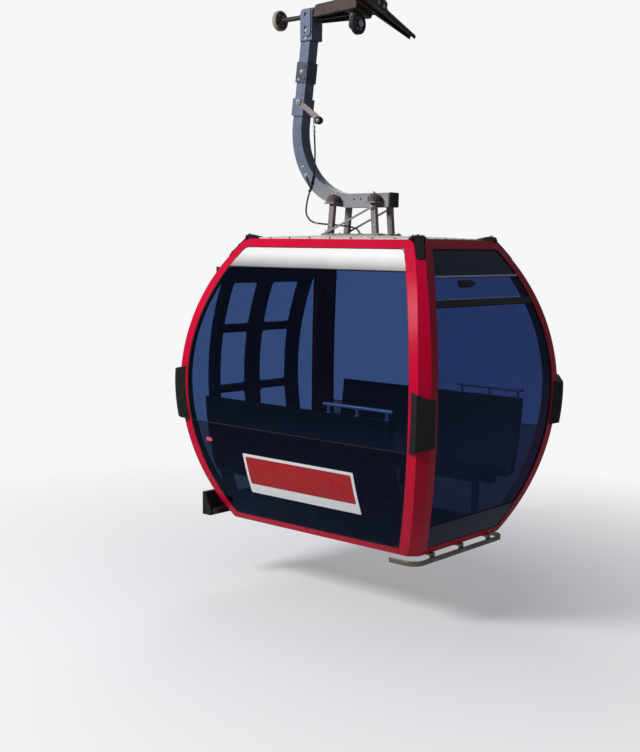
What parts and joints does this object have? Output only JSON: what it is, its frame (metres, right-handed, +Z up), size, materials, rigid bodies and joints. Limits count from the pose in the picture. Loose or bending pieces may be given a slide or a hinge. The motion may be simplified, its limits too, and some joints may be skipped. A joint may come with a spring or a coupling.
{
  "type": "cable car cabin",
  "caption": "Closed barrel-shaped gondola cabin with glazed walls and sliding doors, on a C-shaped hanger with a rope grip.",
  "frame": {"origin": "on the rope's axis, in the middle of the grip's jaw", "axes": "+X the way of travel along the rope, +Y towards the door side, +Z up"},
  "size_m": [1.836, 2.494, 4.238],
  "materials": {
    "red_paint": "gloss",
    "silver_paint": "metallic satin",
    "tinted_glass": "gloss",
    "dark_panel": "gloss",
    "black_plastic": "matte",
    "white_roof": "satin",
    "dark_metal": "satin",
    "galvanised": "galvanised",
    "grip_steel": "weathered",
    "rubber": "matte",
    "roller_tread": "matte",
    "aluminium": "anodised",
    "chrome": "polished",
    "seat_plastic": "satin",
    "floor_mat": "ribbed"
  },
  "bodies": {
    "grip": {"grip_body": "grip_steel", "rope_tongues": "grip_steel", "jaw_springs": "dark_metal"},
    "jaw": {"clamping_jaw": "grip_steel"},
    "coupling_roller": {"coupling_roller": "rubber"},
    "running_roller": {"running_roller": "rubber"},
    "guide_roller": {"guide_roller": "roller_tread"},
    "carrier": {"hanger_head": "galvanised", "head_plate": "galvanised", "hanger_frame": "galvanised", "hanger_collar": "dark_metal", "lever_clamp": "galvanised", "door_lever": "dark_metal", "bar_ears": "galvanised", "rubber_buffers": "rubber", "suspension_legs": "galvanised", "roof_feet": "galvanised", "suspension_braces": "aluminium", "lever_cable": "rubber", "cable_gland": "rubber", "roof": "white_roof", "roof_moulding": "red_paint", "corner_posts": "red_paint", "sill_frame": "red_paint", "corner_fittings": "black_plastic", "corner_bumpers": "black_plastic", "end_fascias": "silver_paint", "end_windows": "tinted_glass", "end_lower_panels": "dark_panel", "side_fascias": "dark_panel", "vent_window": "tinted_glass", "vent_bar": "dark_metal", "side_window": "tinted_glass", "side_lower_panel": "dark_panel", "door_frame": "dark_metal", "door_side_panes": "tinted_glass", "door_track": "dark_metal", "door_foot_rail": "dark_metal", "door_guides": "black_plastic", "floor": "floor_mat", "guide_rail": "aluminium", "guide_brackets": "aluminium", "bench_backs": "seat_plastic", "seats": "seat_plastic", "bench_frames": "dark_metal", "grab_rails": "chrome"},
    "door_front": {"door_leaf_front": "dark_metal", "door_glass_front": "tinted_glass"},
    "door_rear": {"door_leaf_rear": "dark_metal", "door_glass_rear": "tinted_glass"}
  },
  "joints": [
    {"name": "hanger_swing", "type": "hinge", "parent": "grip", "child": "carrier", "pos_m": [0, 0, 0], "axis": [0, 1, 0], "range_deg": [-20, 20]},
    {"name": "jaw_opening", "type": "hinge", "parent": "grip", "child": "jaw", "pos_m": [0.03041, 0.07, 0.09946], "axis": [0.9563, 0, -0.2924], "range_deg": [-12, 0], "stiffness_Nm_per_rad": 2500, "springref_deg": 2.86},
    {"name": "coupling_roller_spin", "type": "hinge", "parent": "jaw", "child": "coupling_roller", "pos_m": [0.05994, 0.447, 0.19604], "axis": [0, 1, 0], "continuous": true},
    {"name": "running_roller_spin", "type": "hinge", "parent": "grip", "child": "running_roller", "pos_m": [-0.03742, 0.1, -0.12241], "axis": [0, 1, 0], "continuous": true},
    {"name": "guide_roller_spin", "type": "hinge", "parent": "grip", "child": "guide_roller", "pos_m": [0, 0.935, 0], "axis": [0, 1, 0], "continuous": true},
    {"name": "front_door_slide", "type": "slide", "parent": "carrier", "child": "door_front", "axis": [1, 0, 0], "range_m": [0, 0.38]},
    {"name": "rear_door_slide", "type": "slide", "parent": "carrier", "child": "door_rear", "axis": [1, 0, 0], "range_m": [-0.38, 0]}
  ],
  "couplings": [
    {"joint": "rear_door_slide", "follows": "front_door_slide", "ratio": -1}
  ]
}
